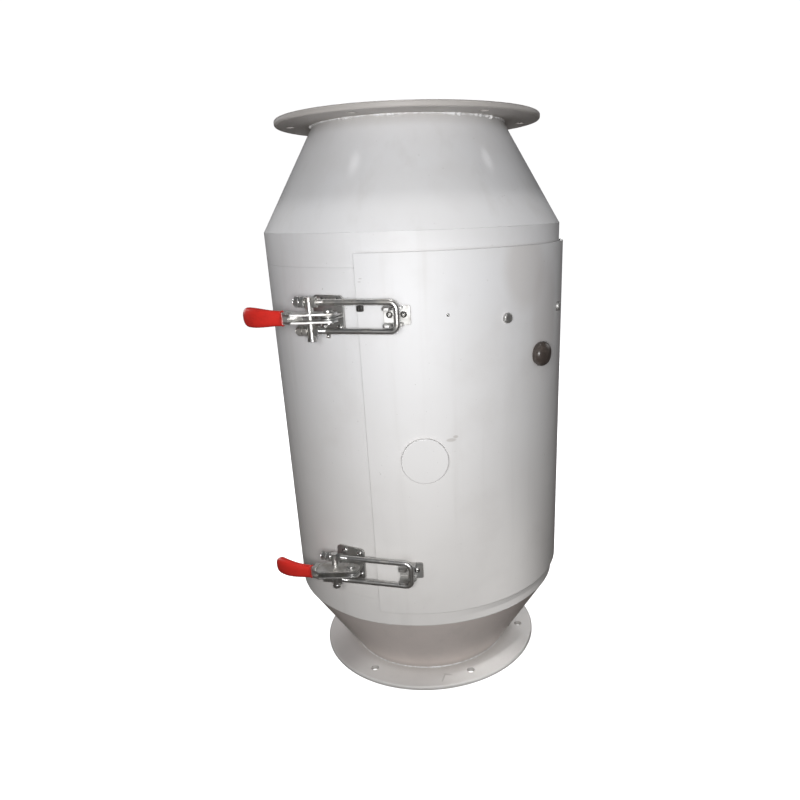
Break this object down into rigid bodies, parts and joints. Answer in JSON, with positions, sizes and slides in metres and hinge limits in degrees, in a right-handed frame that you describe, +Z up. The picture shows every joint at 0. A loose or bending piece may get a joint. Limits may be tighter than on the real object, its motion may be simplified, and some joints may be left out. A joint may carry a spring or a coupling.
{
  "type": "drum magnetic separator",
  "caption": "Upright drum magnetic separator with conical ends, flanges, a curved door that carries a magnet core, and toggle latches.",
  "frame": {"origin": "centre of the bottom flange's underside, on the drum's axis, where the separator rests", "axes": "+Z up along the drum's axis; -Y is the front, where the latches' loops pull along X over the door's edge; azimuths grow from -Y towards +X"},
  "size_m": [0.4129, 0.4418, 0.777],
  "materials": {
    "paint": "matt light grey paint, lightly soiled",
    "zinc_steel": "bright zinc plate",
    "red_plastic": "dipped glossy red vinyl",
    "knob_plastic": "glossy dark brown moulded plastic",
    "stainless": "brushed stainless steel",
    "gasket_rubber": "matt black sponge rubber",
    "bolt_steel": "dull plated steel"
  },
  "bodies": {
    "housing": {"bottom_flange": "paint", "bottom_cone": "paint", "drum_bottom_band": "paint", "rear_right_wall": "paint", "rear_left_wall": "paint", "left_wall": "paint", "front_wall": "paint", "drum_top_band": "paint", "top_cone": "paint", "top_flange": "paint", "upper_hinge_frame_leaf": "paint", "upper_hinge_pin": "bolt_steel", "lower_hinge_frame_leaf": "paint", "lower_hinge_pin": "bolt_steel", "upper_latch_base": "zinc_steel", "upper_latch_pivot_pin": "zinc_steel", "lower_latch_base": "zinc_steel", "lower_latch_pivot_pin": "zinc_steel"},
    "door": {"door_skin": "paint", "door_gasket": "gasket_rubber", "round_cap": "paint", "door_knob": "knob_plastic", "core_shell": "stainless", "core_top_cone": "stainless", "core_bottom_cone": "stainless", "upper_core_arms": "stainless", "lower_core_arms": "stainless", "door_bolts": "bolt_steel", "upper_hinge_door_leaf": "paint", "lower_hinge_door_leaf": "paint", "upper_latch_catch": "zinc_steel", "lower_latch_catch": "zinc_steel"},
    "upper_lever": {"upper_latch_lever": "zinc_steel", "upper_latch_grip": "red_plastic"},
    "upper_loop": {"upper_latch_loop": "zinc_steel", "upper_latch_cross_pin": "zinc_steel", "upper_latch_nuts": "zinc_steel"},
    "lower_lever": {"lower_latch_lever": "zinc_steel", "lower_latch_grip": "red_plastic"},
    "lower_loop": {"lower_latch_loop": "zinc_steel", "lower_latch_cross_pin": "zinc_steel", "lower_latch_nuts": "zinc_steel"}
  },
  "joints": [
    {"name": "door_hinge", "type": "hinge", "parent": "housing", "child": "door", "pos_m": [0.14524, 0.15305, 0.3885], "axis": [0, 0, 1], "range_deg": [0, 110]},
    {"name": "upper_lever_pivot", "type": "hinge", "parent": "housing", "child": "upper_lever", "pos_m": [-0.039, -0.22, 0.554], "axis": [0, 0, 1], "range_deg": [0, 100]},
    {"name": "upper_loop_pivot", "type": "hinge", "parent": "upper_lever", "child": "upper_loop", "pos_m": [-0.063, -0.217, 0.554], "axis": [0, 0, 1], "range_deg": [-115, 0]},
    {"name": "lower_lever_pivot", "type": "hinge", "parent": "housing", "child": "lower_lever", "pos_m": [-0.039, -0.22, 0.223], "axis": [0, 0, 1], "range_deg": [0, 100]},
    {"name": "lower_loop_pivot", "type": "hinge", "parent": "lower_lever", "child": "lower_loop", "pos_m": [-0.063, -0.217, 0.223], "axis": [0, 0, 1], "range_deg": [-115, 0]}
  ],
  "couplings": [
    {"joint": "upper_loop_pivot", "follows": "upper_lever_pivot", "ratio": -1.15},
    {"joint": "lower_loop_pivot", "follows": "lower_lever_pivot", "ratio": -1.15}
  ]
}
